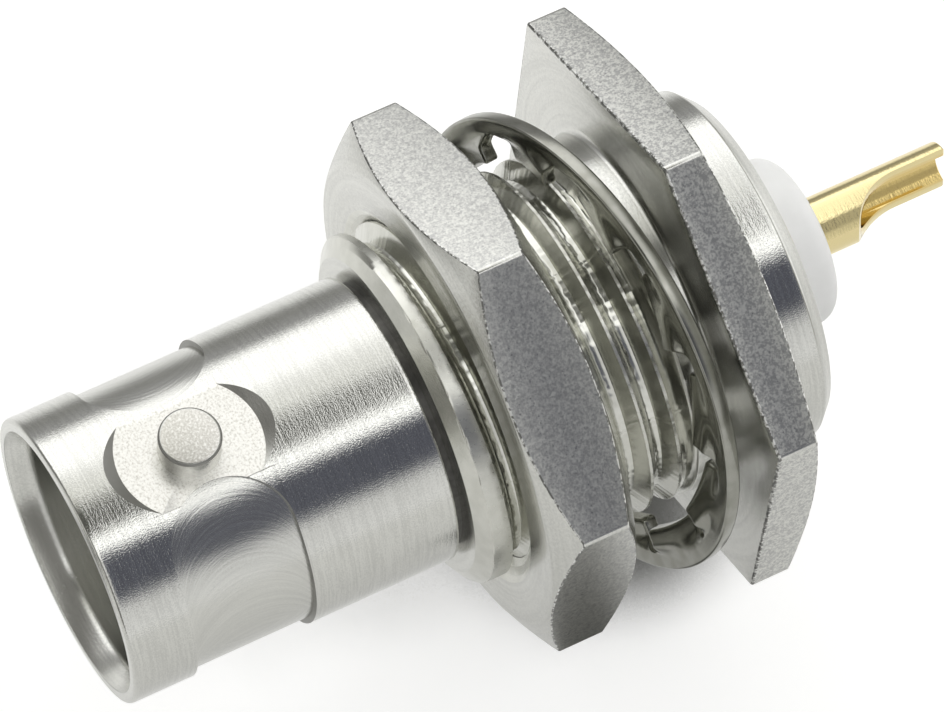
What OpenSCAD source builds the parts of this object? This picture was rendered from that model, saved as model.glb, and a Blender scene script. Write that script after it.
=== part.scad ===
// Bayonet coaxial bulkhead jack with a hex flange, a loose hex nut and a leaning lock washer.
// The bore axis runs along Y: mating mouth toward -Y, solder cup toward +Y, bayonet lugs on +Z and -Z.
// The origin is on the axis, on the flange face that seats against a panel. Sizes are in millimetres.

/* [Shell] */
// Outer diameter of the bayonet shell
shell_d = 9.7; // [9.55:0.01:9.8]
// Length from the mouth to the front face of the threaded barrel
shell_len = 11.55; // [11:0.05:13]
// Diameter of the socket bore behind the lead-in cone
socket_d = 8.13; // [8:0.01:8.3]
// Radial flare of the lead-in cone at the mouth
mouth_flare = 0.38; // [0.2:0.01:0.45]
// Length of the lead-in cone
mouth_cone = 0.7; // [0.3:0.05:1.2]
// Depth of the socket from the mouth to the reference plane
socket_depth = 8.4; // [8.2:0.05:8.8]
// Edge break on the outer rim of the mouth
rim_break = 0.14; // [0.05:0.01:0.25]

/* [Lugs] */
// Diameter of each bayonet lug
lug_d = 2.0; // [1.9:0.01:2.1]
// Distance across the two lug tops
lug_span = 11.0; // [10.8:0.01:11.1]
// Distance from the mouth to the lug centre
lug_station = 4.17; // [3.9:0.01:4.6]
// Diameter of the flat floor of the pocket around each lug
pocket_d = 4.7; // [4.2:0.02:4.9]
// Depth of the pocket floor below the shell surface
pocket_depth = 0.28; // [0.2:0.01:0.32]
// How far the pocket wall leans outward from its floor to the shell surface
pocket_flare = 0.43; // [0.2:0.01:0.5]
// How far each lug is rooted below the pocket floor
lug_root = 0.2; // [0.1:0.01:0.25]

/* [Side recesses] */
// Width of the milled band on each side of the shell
recess_w = 4.12; // [3.6:0.02:4.4]
// Distance from the mouth to the middle of the band
recess_station = 4.22; // [4:0.01:4.5]
// Depth of the band below the shell surface
recess_depth = 0.2; // [0.1:0.01:0.25]
// Angle from a lug to the last cutter position
recess_end = 43; // [38:1:50]
// Small turn of both bands about the axis
recess_turn = -2.5; // [-4:0.5:4]

/* [Barrel] */
// Diameter over the thread crests
thread_d = 11.94; // [11.7:0.01:12]
// Length of the barrel from its front face to the flange
barrel_len = 8.7; // [8.3:0.05:12]
// Radial drop of the lead-in chamfer at the front of the thread
lead_drop = 0.57; // [0.3:0.01:0.8]
// Length of that lead-in chamfer
lead_len = 0.35; // [0.2:0.05:0.8]
// Width of the relief groove between shell and barrel
groove_w = 0.27; // [0.15:0.01:0.5]
// Radial depth of the relief groove
groove_depth = 0.35; // [0.15:0.01:0.45]
// Diameter of the plain part of the barrel in front of the flange
plain_d = 12.0; // [11.9:0.01:12.1]
// Length of that plain part
plain_len = 1.1; // [0.5:0.05:1.3]

/* [Flange] */
// Width of the flange across its flats
flange_af = 16.9; // [16.5:0.05:19]
// Thickness of the flange
flange_t = 1.85; // [1.5:0.05:2.6]
// Distance from the flats in to the circle where the rear chamfer starts
flange_inset = 0.55; // [0.2:0.05:0.8]
// Slope of the rear chamfer in degrees
flange_slope = 15; // [10:1:30]

/* [Collar] */
// Diameter of the collar behind the flange
collar_d = 12.0; // [11:0.05:13]
// Length of the collar
collar_len = 2.05; // [1.6:0.05:3]
// Size of the rear edge chamfer of the collar
collar_chamfer = 0.48; // [0.2:0.02:0.7]

/* [Nut] */
// Width of the nut across its flats
nut_af = 15.9; // [15.7:0.05:17]
// Thickness of the nut
nut_t = 2.95; // [2.5:0.05:3.2]
// Distance from the flange face to the rear face of the nut
nut_stand = 4.33; // [4.3:0.01:4.8]
// Turn of the nut corners from straight up
nut_turn = 2.4; // [-30:0.1:30]
// Distance from the flats in to the circle where the corner chamfers start
nut_inset = 0.1; // [0.05:0.05:0.5]
// Slope of the corner chamfers in degrees
nut_slope = 28; // [15:1:30]
// Running gap between the nut bore and the thread crests
nut_gap = 0.05; // [0.03:0.01:0.1]
// Radial size of the countersink at each end of the nut bore
nut_sink = 0.38; // [0.2:0.01:0.6]
// Length of that countersink
nut_sink_len = 0.32; // [0.15:0.01:0.6]

/* [Lock washer] */
// Outer diameter of the washer
washer_od = 16.0; // [15.4:0.05:16.4]
// Sheet thickness
washer_t = 0.5; // [0.4:0.05:0.6]
// Radial gap from the tooth tips to the thread crests
tip_gap = 0.5; // [0.45:0.01:0.6]
// Width of the flat rim outside the teeth
rim_w = 0.6; // [0.5:0.02:0.8]
// Width of each tooth
tooth_w = 2.5; // [2.2:0.05:2.9]
// Twist of each tooth out of the washer plane
tooth_twist = 12; // [8:1:16]
// Number of inner teeth
washer_teeth = 12; // [8:1:12]
// Turn of the first tooth
tooth_turn = -7.5; // [-16:0.5:16]
// Lean of the loose washer from square to the axis
washer_lean = 10.6; // [6:0.1:11]
// Direction the rear edge of the washer leans to, from straight up toward +X
washer_lean_dir = 47; // [0:1:360]
// Gap left between the leaning washer and the nut
washer_gap = 0.14; // [0.05:0.01:0.2]
// Sideways sag of the washer on the barrel
washer_sag = 0.26; // [0:0.01:0.28]
// Direction of that sag, from straight up toward +X
washer_sag_dir = 105; // [0:1:360]

/* [Insulator] */
// Diameter of the nose inside the mouth
nose_d = 4.7; // [4.5:0.05:4.8]
// Length of the nose in front of the reference plane
nose_len = 5.0; // [4.7:0.05:5.3]
// Diameter of the part inside the barrel
core_d = 7.0; // [6.6:0.05:7.1]
// Diameter of the rear shoulder inside the collar
seat_d = 8.4; // [7.8:0.05:9]
// Depth of that rear shoulder
seat_t = 2.2; // [1.8:0.05:2.6]
// Diameter of the boss behind the collar
boss_d = 5.7; // [5.2:0.05:6.4]
// Length of the boss
boss_len = 2.0; // [1.5:0.05:2.6]
// Rounding of the rear edge of the boss
boss_round = 0.7; // [0.3:0.05:0.9]

/* [Contact] */
// Diameter of the contact
contact_d = 2.0; // [1.9:0.01:2.1]
// Distance from the front face of the nose back to the contact
contact_back = 0.2; // [0.1:0.05:0.5]
// Diameter of the bore that takes a mating pin
pin_d = 1.37; // [1.32:0.01:1.4]
// Depth of that bore
pin_depth = 5.6; // [4.8:0.1:6.5]
// Width of the two spring slots
slot_w = 0.28; // [0.2:0.01:0.3]
// Length of the spring slots
slot_len = 4.2; // [3.6:0.1:4.6]
// Clear gap around the springs inside the nose
spring_gap = 0.15; // [0.1:0.01:0.2]
// Length of that gap behind the ends of the slots
spring_room = 0.6; // [0.3:0.05:1]
// Length of the contact behind the insulator boss
tail_len = 5.25; // [4.5:0.05:6.5]
// Diameter of the solder cup bore
cup_d = 1.24; // [1.1:0.02:1.3]
// Depth of the solder cup bore
cup_depth = 3.7; // [3:0.1:4.2]
// Length of the open side of the cup at full depth
cup_open = 1.8; // [1.4:0.05:2.2]
// Radius of the cutter that ends the open side
cup_cutter_r = 2.2; // [1.6:0.1:2.6]
// How far the open side passes beyond the axis
cup_cut = 0.12; // [0:0.01:0.25]
// Direction the cup opens to, from straight up toward +X
cup_dir = 78; // [-180:1:180]

/* [Edges] */
// Small edge break on the lug tops, nose and contact ends
edge_break = 0.12; // [0.05:0.01:0.15]
// Length of the drill point at the end of each blind bore
drill_point = 0.3; // [0.1:0.05:0.4]

/* [Hidden] */
$fn = 96;
over = 1;
shell_r = shell_d / 2;
socket_r = socket_d / 2;
thread_r = thread_d / 2;
flange_s = shell_len + barrel_len;
flange_back = flange_s + flange_t;
rear_s = flange_back + collar_len;
boss_end = rear_s + boss_len;
tip_s = boss_end + tail_len;
nose_s = socket_depth - nose_len;
spring_s = nose_s + contact_back;
core_r = core_d / 2;
seat_r = seat_d / 2;
pin_r = contact_d / 2;
flange_mid = flange_s + flange_t / 2;
mouth_r = socket_r + mouth_flare;
spring_end = spring_s + slot_len + spring_room;
nut_bore_r = thread_r + nut_gap;
nut_back = flange_s - nut_stand;
tip_r = thread_r + tip_gap;
root_r = washer_od / 2 - rim_w;
tooth_sink = washer_t / 2;
rim_reach = washer_od / 2 * sin(washer_lean) + washer_t / 2 * cos(washer_lean);
tooth_height = tooth_w / 2 * sin(tooth_twist) + washer_t / 2 * cos(tooth_twist);
tooth_reach = (root_r + tooth_sink) * sin(washer_lean) + tooth_height * cos(washer_lean);
washer_s = nut_back + max(rim_reach, tooth_reach) + washer_gap;
round_steps = 10;

// Turns a shape built along Z so that it lies along Y, with stations counted from the mouth.
module along_y() {
  translate([0, -flange_s, 0]) rotate([-90, 0, 0]) children();
}

// Turns a shape so that its local X points at an angle from straight up toward +X.
module toward(angle) {
  rotate([0, 0, angle - 90]) children();
}

// Solid of revolution from radius and station pairs.
module turned(points) {
  rotate_extrude() polygon(points);
}

// Hex prism with a corner pointing straight up.
module hex_bar(af, s0, s1) {
  toward(0) translate([0, 0, s0]) cylinder(d = af / cos(30), h = s1 - s0, $fn = 6);
}

// Flat pocket around a lug, with a leaning wall.
module lug_pocket(angle) {
  height = pocket_depth + over;
  top_d = pocket_d + 2 * height * pocket_flare / pocket_depth;
  toward(angle) translate([shell_r - pocket_depth, 0, lug_station]) rotate([0, 90, 0])
    cylinder(d1 = pocket_d, d2 = top_d, h = height);
}

// Straight pin that the bayonet ramps ride on.
module lug(angle) {
  foot = shell_r - pocket_depth - lug_root;
  height = lug_span / 2 - foot;
  toward(angle) translate([foot, 0, lug_station]) rotate([0, 90, 0]) {
    cylinder(d = lug_d, h = height - edge_break);
    translate([0, 0, height - edge_break])
      cylinder(d1 = lug_d, d2 = lug_d - 2 * edge_break, h = edge_break);
  }
}

// Band milled around one side of the shell, its floor round the axis and a round end near each lug.
module side_recess(middle) {
  floor_r = shell_r - recess_depth;
  sweep = 180 - 2 * recess_end;
  toward(middle) translate([0, 0, recess_station]) {
    rotate([0, 0, -sweep / 2]) rotate_extrude(angle = sweep)
      translate([floor_r, -recess_w / 2]) square([recess_depth + over, recess_w]);
    for (side = [-1, 1]) rotate([0, 0, side * sweep / 2]) difference() {
      translate([socket_r, 0, 0]) rotate([0, 90, 0]) cylinder(d = recess_w, h = shell_r + over - socket_r);
      cylinder(r = floor_r, h = recess_w + over, center = true);
    }
  }
}

// Turned outside of the body from the mouth to the rear of the collar.
module body_outside() {
  turned([
    [0, 0], [shell_r - rim_break, 0], [shell_r, rim_break], [shell_r, shell_len - groove_w],
    [shell_r - groove_depth, shell_len - groove_w], [shell_r - groove_depth, shell_len],
    [thread_r - lead_drop, shell_len], [thread_r, shell_len + lead_len],
    [thread_r, flange_s - plain_len], [plain_d / 2, flange_s - plain_len],
    [plain_d / 2, flange_mid], [collar_d / 2, flange_mid], [collar_d / 2, rear_s - collar_chamfer],
    [collar_d / 2 - collar_chamfer, rear_s], [0, rear_s]
  ]);
}

// Bores of the body: lead-in cone, socket, barrel bore and rear seat.
module body_inside() {
  turned([
    [0, -over], [mouth_r, -over], [mouth_r, 0], [socket_r, mouth_cone], [socket_r, socket_depth],
    [core_r, socket_depth], [core_r, rear_s - seat_t], [seat_r, rear_s - seat_t],
    [seat_r, rear_s + over], [0, rear_s + over]
  ]);
}

// Hex flange with its rear corners chamfered.
module hex_flange() {
  corner_r = flange_af / 2 / cos(30) + over;
  face_r = flange_af / 2 - flange_inset;
  drop = (corner_r - face_r) * tan(flange_slope);
  intersection() {
    hex_bar(flange_af, flange_s, flange_back);
    turned([[0, flange_s], [corner_r, flange_s], [corner_r, flange_back - drop],
      [face_r, flange_back], [0, flange_back]]);
  }
}

// One turned and milled piece: shell, lugs, barrel, flange and collar.
module connector_body() {
  color([0.78, 0.78, 0.76]) along_y() difference() {
    union() {
      difference() {
        body_outside();
        for (angle = [0, 180]) lug_pocket(angle);
        for (angle = [90, 270]) side_recess(angle + recess_turn);
      }
      for (angle = [0, 180]) lug(angle);
      hex_flange();
    }
    body_inside();
  }
}

// White insulator: nose in the mouth, core in the barrel, shoulder in the collar and rear boss.
module insulator() {
  boss_r = boss_d / 2;
  rounding = [for (i = [0 : round_steps])
    [boss_r - boss_round + boss_round * cos(90 * i / round_steps),
     boss_end - boss_round + boss_round * sin(90 * i / round_steps)]];
  color([0.95, 0.95, 0.93]) along_y() turned(concat([
    [pin_r + spring_gap, nose_s], [nose_d / 2 - edge_break, nose_s],
    [nose_d / 2, nose_s + edge_break],
    [nose_d / 2, socket_depth], [core_r, socket_depth], [core_r, rear_s - seat_t],
    [seat_r, rear_s - seat_t], [seat_r, rear_s], [boss_r, rear_s]],
    rounding,
    [[pin_r, boss_end], [pin_r, spring_end], [pin_r + spring_gap, spring_end]]));
}

// Bore for the mating pin, with a lead-in at its mouth and a drill point at its end.
module pin_bore() {
  bore_r = pin_d / 2;
  turned([[0, spring_s - over], [bore_r + edge_break, spring_s - over],
    [bore_r + edge_break, spring_s], [bore_r, spring_s + edge_break],
    [bore_r, spring_s + pin_depth], [0, spring_s + pin_depth + drill_point]]);
}

// Bore of the solder cup and the cut that opens its side.
module solder_cup() {
  cut_s = tip_s - cup_open;
  cup_r = cup_d / 2;
  turned([[0, tip_s - cup_depth - drill_point], [cup_r, tip_s - cup_depth],
    [cup_r, tip_s + over], [0, tip_s + over]]);
  toward(cup_dir) {
    translate([-cup_cut, -contact_d, cut_s]) cube([2 * contact_d, 2 * contact_d, cup_open + over]);
    translate([cup_cutter_r - cup_cut, 0, cut_s]) rotate([90, 0, 0])
      cylinder(r = cup_cutter_r, h = 2 * contact_d, center = true);
  }
}

// Gold contact: split socket at the front, solder cup at the rear.
module centre_contact() {
  color([0.86, 0.74, 0.42]) along_y() difference() {
    turned([[0, spring_s], [pin_r - edge_break, spring_s], [pin_r, spring_s + edge_break],
      [pin_r, tip_s - edge_break], [pin_r - edge_break, tip_s], [0, tip_s]]);
    pin_bore();
    for (angle = [0, 180]) toward(angle) translate([0, -slot_w / 2, spring_s - over])
      cube([contact_d, slot_w, slot_len + over]);
    solder_cup();
  }
}

// Loose nut on the barrel, both faces chamfered at the corners.
module hex_nut() {
  corner_r = nut_af / 2 / cos(30) + over;
  face_r = nut_af / 2 - nut_inset;
  sink_r = nut_bore_r + nut_sink;
  drop = (corner_r - face_r) * tan(nut_slope);
  front = nut_back - nut_t;
  color([0.76, 0.76, 0.75]) along_y() difference() {
    intersection() {
      rotate([0, 0, nut_turn]) hex_bar(nut_af, front, nut_back);
      turned([[0, front], [face_r, front], [corner_r, front + drop], [corner_r, nut_back - drop],
        [face_r, nut_back], [0, nut_back]]);
    }
    turned([[0, front - over], [sink_r, front - over], [sink_r, front],
      [nut_bore_r, front + nut_sink_len], [nut_bore_r, nut_back - nut_sink_len],
      [sink_r, nut_back], [sink_r, nut_back + over], [0, nut_back + over]]);
  }
}

// One inner tooth: a blade of the sheet twisted about its own radius and sunk a little into the rim.
module washer_tooth() {
  intersection() {
    rotate([-tooth_twist, 0, 0]) translate([0, -tooth_w / 2, -washer_t / 2])
      cube([washer_od / 2, tooth_w, washer_t]);
    difference() {
      cylinder(r = root_r + tooth_sink, h = tooth_w, center = true);
      cylinder(r = tip_r, h = tooth_w + over, center = true);
    }
  }
}

// Washer lying flat, its first tooth on local X.
module flat_washer() {
  difference() {
    cylinder(d = washer_od, h = washer_t, center = true);
    cylinder(r = root_r, h = washer_t + over, center = true);
  }
  for (i = [0 : washer_teeth - 1]) rotate([0, 0, i * 360 / washer_teeth]) washer_tooth();
}

// Loose lock washer, sagging on the barrel and leaning back from the nut.
module lock_washer() {
  sag = washer_sag * [sin(washer_sag_dir), -cos(washer_sag_dir)];
  color([0.74, 0.73, 0.70]) along_y() translate([sag.x, sag.y, washer_s])
    toward(washer_lean_dir) rotate([0, -washer_lean, 0])
      rotate([0, 0, tooth_turn - washer_lean_dir]) flat_washer();
}

connector_body();
insulator();
centre_contact();
hex_nut();
lock_washer();
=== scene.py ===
import math
from types import SimpleNamespace
import bmesh
import bpy
import numpy as np
from mathutils import Matrix, Vector


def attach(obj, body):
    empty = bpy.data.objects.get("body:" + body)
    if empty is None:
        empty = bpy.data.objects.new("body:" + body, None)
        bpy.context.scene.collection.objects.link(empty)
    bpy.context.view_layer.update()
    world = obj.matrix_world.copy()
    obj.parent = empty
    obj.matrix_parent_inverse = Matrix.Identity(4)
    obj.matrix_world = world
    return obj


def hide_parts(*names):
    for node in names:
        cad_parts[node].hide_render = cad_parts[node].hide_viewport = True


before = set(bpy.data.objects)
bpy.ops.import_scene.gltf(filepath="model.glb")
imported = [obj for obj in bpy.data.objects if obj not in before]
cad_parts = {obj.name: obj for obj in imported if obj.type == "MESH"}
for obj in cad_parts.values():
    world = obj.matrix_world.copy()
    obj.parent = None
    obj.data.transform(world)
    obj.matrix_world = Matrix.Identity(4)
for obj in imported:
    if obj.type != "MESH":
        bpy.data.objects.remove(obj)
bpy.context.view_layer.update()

# Sizes in millimetres and angles in degrees. Stations run along the bore axis from the mating mouth, as in
# the part's source, and angles about the axis start at the upper lug.
MM, TO_MM = 0.001, 1000.0
FLANGE_AT = 20.25
SHELL_R, SHELL_END, GROOVE_DEPTH = 4.85, 11.28, 0.35
SOCKET_R, SOCKET_END, CONE_LEN, MOUTH_R = 4.065, 8.4, 0.7, 4.445
LUG_R, LUG_TOP, LUG_AT, LUG_FOOT = 1.0, 5.5, 4.17, 4.35
POCKET_R, POCKET_FLOOR, POCKET_LEAN = 2.35, 4.57, 0.43 / 0.28
BAND_R, BAND_AT, BAND_HALF, BAND_END, BAND_TURN = 4.65, 4.22, 2.06, 43.0, -2.5
BARREL_AT, LEAD_LEN, LEAD_DROP = 11.55, 0.35, 0.57
CREST_R, THREAD_DEPTH, PITCH, CREST_AT, FIRST_CREST = 5.97, 0.58, 1.0, 0.285, 12
THREAD_START, THREAD_MIDDLE, THREAD_END, RUN_OUT, PLAIN_R = 30.0, 15.0, 19.15, 0.5, 6.0
FLANGE_APOTHEM, FLANGE_BACK, FLANGE_FACE_R, FLANGE_SLOPE = 8.45, 22.1, 7.9, 15.0
COLLAR_R, REAR_AT, COLLAR_CHAMFER = 6.0, 24.15, 0.48
CORE_R, SEAT_R, SEAT_AT = 3.5, 4.2, 21.95
NUT_APOTHEM, NUT_FRONT, NUT_BACK, NUT_FACE_R, NUT_SLOPE, NUT_TURN = 7.95, 12.97, 15.92, 7.85, 28.0, 2.4
NUT_GAP, NUT_SINK, NUT_SINK_LEN = 0.03, 0.4, 0.22
WASHER_R, WASHER_T, ROOT_R, TIP_R = 8.0, 0.5, 7.4, 6.47
TEETH, TOOTH_W, TOOTH_WAIST, TOOTH_TWIST, TOOTH_TURN = 12, 2.5, 0.33, 12.0, -7.5
SLOT_SHARE, BEND_FROM, BEND_RUN = 0.94, 0.12, 0.5
WASHER_LEAN, WASHER_LEAN_DIR, WASHER_SAG, WASHER_SAG_DIR, WASHER_AT = 10.6, 47.0, 0.26, 105.0, 17.963
NOSE_R, NOSE_AT, BOSS_R, BOSS_AT, BOSS_END, PRESS_FIT = 2.35, 3.4, 2.85, REAR_AT - 0.02, 26.15, 0.01
CONTACT_R, SPRING_AT, SPRING_GAP, SPRING_END, TIP_AT = 1.0, 3.6, 0.15, 8.4, 31.4
PIN_R, PIN_DEPTH, SLOT_W, SLOT_LEN, DRILL_POINT = 0.685, 5.6, 0.28, 4.2, 0.3
CUP_R, CUP_DEPTH, CUP_OPEN, CUTTER_R, CUTTER_SWEEP, CUP_CUT, CUP_DIR = 0.62, 3.7, 1.8, 2.2, 80.0, 0.12, 78.0

# Edge roundings.
SOCKET_ROUND, CONE_ROUND, MOUTH_ROUND = 0.1, 0.6, 0.05
SHELL_ROUND, SHELL_END_ROUND, LUG_ROUND = 0.15, 0.06, 0.1
FLANGE_FILLET, FLANGE_ROUND, FLANGE_REAR_ROUND, FLANGE_FACE_ROUND = 0.2, 0.09, 0.07, 0.25
COLLAR_FILLET, COLLAR_ROUND, SEAT_ROUND = 0.06, 0.12, 0.04
HEX_ROUND, NUT_ROUND, NUT_FACE_ROUND = 0.16, 0.07, 0.2
WASHER_ROUND, TOOTH_ROUND = 0.09, 0.14
NOSE_ROUND, NOSE_BORE_ROUND, SHOULDER_ROUND = 0.15, 0.06, 0.05
BOSS_FILLET, BOSS_ROUND, BOSS_BORE_ROUND = 0.12, 0.7, 0.05
SPRING_ROUND, TIP_ROUND, CUP_ROUND, CUT_BEVEL = 0.1, 0.06, 0.05, 0.035

# Thread section as shares of the pitch, the places of its rows within one pitch, and the wear of its crests.
CREST_HALF, FLANK, ROOT_HALF, ROOT_DISH = 0.045, 0.315, 0.14, 0.04
THREAD_ROWS = (-0.5, -0.46, -0.42, -0.385, -0.36, -0.2, -CREST_HALF,
               CREST_HALF, 0.2, 0.36, 0.385, 0.42, 0.46)
NICK_DEPTH = 0.022

# Stations of rows that keep a straight stretch evenly shaded up to its rounded ends, and how far inside
# the hex's side such a row lies on the flange's face.
SHELL_ROWS = (0.25, 1.4, 7.1, SHELL_END - 0.15)
COLLAR_ROWS = (FLANGE_BACK + 0.15, REAR_AT - COLLAR_CHAMFER - 0.2)
FLANGE_FACE_ROW = 0.9

# Fineness: columns around each piece, the spread of columns at a hex corner, the welding distance and the
# shortest face along the axis that is kept.
AROUND, LUG_AROUND, POCKET_AROUND, INSULATOR_AROUND, CONTACT_AROUND = 360, 96, 160, 160, 128
CORNER_SPREAD = math.radians(0.6)
WELD, SHORTEST = 1e-4, 1e-6


# Mesh helpers

def even_angles(count, corners=()):
    """Angles around the axis in radians, with extra ones packed close to each hex corner."""
    angles = [2 * math.pi * i / count for i in range(count)]
    for corner in corners:
        near = [corner + CORNER_SPREAD * k for k in (-1.0, -0.6, -0.3, 0.0, 0.3, 0.6, 1.0)]
        clear = CORNER_SPREAD * 1.25
        angles = [a for a in angles if abs(math.remainder(a - corner, 2 * math.pi)) > clear]
        angles += [a % (2 * math.pi) for a in near]
    return np.array(sorted(angles))


def hex_angles(turn):
    """Angles for a hex piece whose first corner stands at the given turn."""
    return even_angles(AROUND, [math.radians(turn + 60 * k) for k in range(6)])


def hex_reach(angles, apothem, turn):
    """Distance from the axis to a hex bar's side at each angle, with its corners rounded."""
    from_corner = np.remainder(angles - math.radians(turn) + math.pi / 6, math.pi / 3) - math.pi / 6
    flat = apothem / np.cos(math.pi / 6 - np.abs(from_corner))
    centre = (apothem - HEX_ROUND) / math.cos(math.pi / 6)
    edge = math.atan2(HEX_ROUND * 0.5, centre + HEX_ROUND * math.cos(math.pi / 6))
    inside = np.clip(HEX_ROUND ** 2 - (centre * np.sin(from_corner)) ** 2, 0, None)
    arc = centre * np.cos(from_corner) + np.sqrt(inside)
    return np.where(np.abs(from_corner) < edge, arc, flat)


def ease(share):
    """A smooth start and end for a share from 0 to 1."""
    return share * share * (3 - 2 * share)


def soften(corners, count):
    """Rows from corners: (radius, station) stays sharp, and rounding and steps after it make an arc there."""
    spread = [np.stack([np.broadcast_to(np.asarray(size, float), (count,)) for size in corner[:2]])
              for corner in corners]
    rows = []
    for i, (here, corner) in enumerate(zip(spread, corners)):
        if len(corner) == 2:
            rows.append(here)
            continue
        rounding, steps = corner[2:]
        back = spread[i - 1] - here
        ahead = spread[i + 1] - here
        back = back / np.linalg.norm(back, axis=0)
        ahead = ahead / np.linalg.norm(ahead, axis=0)
        half = np.arccos(np.clip((back * ahead).sum(0), -1, 1)) / 2
        run = rounding / np.tan(half)
        middle = back + ahead
        middle = middle / np.linalg.norm(middle, axis=0)
        centre = here + middle * (rounding / np.sin(half))
        first, last = here + back * run - centre, here + ahead * run - centre
        turn = math.pi - 2 * half
        for k in range(steps + 1):
            t = k / steps
            arc = (np.sin((1 - t) * turn) * first + np.sin(t * turn) * last) / np.sin(turn)
            rows.append(centre + arc)
    return rows


def around_axis(radius, angles, station):
    """Points at a radius and station for each angle around the axis."""
    along = np.broadcast_to(station - FLANGE_AT, np.shape(angles))
    return np.stack([radius * np.sin(angles), along, radius * np.cos(angles)], 1)


def ring_points(rows, angles):
    """Places rows of (radius, station) around the axis."""
    return [around_axis(radius, angles, station) for radius, station in rows]


def skin(mesh, rings, closed=False, finishes=None):
    """Joins rings of points with quads. finishes gives the material index between each ring and the next."""
    laid = [[mesh.verts.new(p) for p in ring] for ring in rings]
    count = len(laid[0])
    pairs = len(laid) if closed else len(laid) - 1
    for i in range(pairs):
        low, high = laid[i], laid[(i + 1) % len(laid)]
        for j in range(count):
            k = (j + 1) % count
            face = mesh.faces.new((low[j], low[k], high[k], high[j]))
            face.material_index = finishes[i] if finishes else 0
    return laid


def cap_ends(mesh, laid):
    """Closes a skin with a face over its first ring and one over its last."""
    mesh.faces.new(laid[0])
    mesh.faces.new(laid[-1])
    bmesh.ops.recalc_face_normals(mesh, faces=mesh.faces)


def thread_depth(phase):
    """How far the thread lies below its crest, from 0 to 1: narrow crest, straight flanks, shallow root."""
    along = np.abs(np.remainder(phase + 0.5, 1.0) - 0.5)
    flank = np.clip((along - CREST_HALF) / FLANK, 0, 1)
    root = 1 - np.clip((0.5 - along) / ROOT_HALF, 0, 1) ** 2
    return (1 - ROOT_DISH) * flank + ROOT_DISH * root


def thread_rings(mesh, angles, low, high, radius_at):
    """A helical skin between two stations. Its rows follow the thread and are squeezed flat at both ends."""
    per_turn, spare_turns = len(THREAD_ROWS), 3
    turns = int(math.ceil((high - low) / PITCH)) + spare_turns
    begin = math.floor(low / PITCH) - 1 + CREST_AT
    grid = []
    for k in range(turns * per_turn):
        station = (begin + k // per_turn + THREAD_ROWS[k % per_turn] + angles / (2 * math.pi)) * PITCH
        station = np.clip(station, low, high)
        points = around_axis(radius_at(angles, station), angles, station)
        grid.append([mesh.verts.new(p) for p in points])
    last = len(angles) - 1
    for k in range(len(grid) - 1):
        for j in range(last + 1):
            if j < last:
                corners = (grid[k][j], grid[k][j + 1], grid[k + 1][j + 1], grid[k + 1][j])
            elif k + per_turn + 1 < len(grid):
                corners = (grid[k][j], grid[k + per_turn][0], grid[k + per_turn + 1][0], grid[k + 1][j])
            else:
                continue
            stations = [v.co.y for v in corners]
            if max(stations) - min(stations) > SHORTEST:
                mesh.faces.new(corners).material_index = BRIGHT


def close_up(mesh):
    """Welds matching points, drops flat leftovers and turns every face outward."""
    bmesh.ops.remove_doubles(mesh, verts=mesh.verts, dist=WELD)
    bmesh.ops.dissolve_degenerate(mesh, edges=mesh.edges, dist=WELD)
    loose = [v for v in mesh.verts if not v.link_faces]
    bmesh.ops.delete(mesh, geom=loose, context="VERTS")
    bmesh.ops.recalc_face_normals(mesh, faces=mesh.faces)


def new_piece(name, mesh):
    """Makes an object of a bmesh, in the mesh's own unit."""
    data = bpy.data.meshes.new(name)
    mesh.to_mesh(data)
    mesh.free()
    piece = bpy.data.objects.new(name, data)
    bpy.context.scene.collection.objects.link(piece)
    return piece


def bake_modifiers(piece):
    """Replaces the mesh by what its modifiers make of it."""
    ready = piece.evaluated_get(bpy.context.evaluated_depsgraph_get())
    made = bpy.data.meshes.new_from_object(ready)
    old = piece.data
    name = old.name
    piece.modifiers.clear()
    piece.data = made
    bpy.data.meshes.remove(old)
    made.name = name


def carve(piece, cutter, operation):
    """Applies one exact Boolean and removes the cutter."""
    step = piece.modifiers.new("carve", "BOOLEAN")
    step.operation, step.solver, step.object = operation, "EXACT", cutter
    bake_modifiers(piece)
    data = cutter.data
    bpy.data.objects.remove(cutter)
    bpy.data.meshes.remove(data)


def settle(piece, body, node, finishes, sharp):
    """Scales a piece to metres, gives it its finishes and lets it stand for its CAD node."""
    piece.data.transform(Matrix.Scale(MM, 4))
    faces = piece.data.polygons
    kinds = np.zeros(len(faces), np.int32)
    faces.foreach_get("material_index", kinds)
    piece.data.materials.clear()
    for finish in finishes:
        piece.data.materials.append(finish)
    faces.foreach_set("material_index", kinds)
    faces.foreach_set("use_smooth", [True] * len(faces))
    piece.data.set_sharp_from_angle(angle=math.radians(sharp))
    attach(piece, body)
    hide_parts(node)


def pin_shape(rows, count, place):
    """A closed turned solid about local Z, rows as (radius, height), then placed."""
    mesh = bmesh.new()
    turns = [2 * math.pi * i / count for i in range(count)]
    rings = [[(radius * math.cos(turn), radius * math.sin(turn), height) for turn in turns]
             for radius, height in rows]
    cap_ends(mesh, skin(mesh, rings))
    mesh.transform(place)
    return mesh


def joined(meshes):
    """One bmesh that holds several."""
    whole = bmesh.new()
    for mesh in meshes:
        part = bpy.data.meshes.new("part")
        mesh.to_mesh(part)
        mesh.free()
        whole.from_mesh(part)
        bpy.data.meshes.remove(part)
    return whole


# Shader helpers

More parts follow.
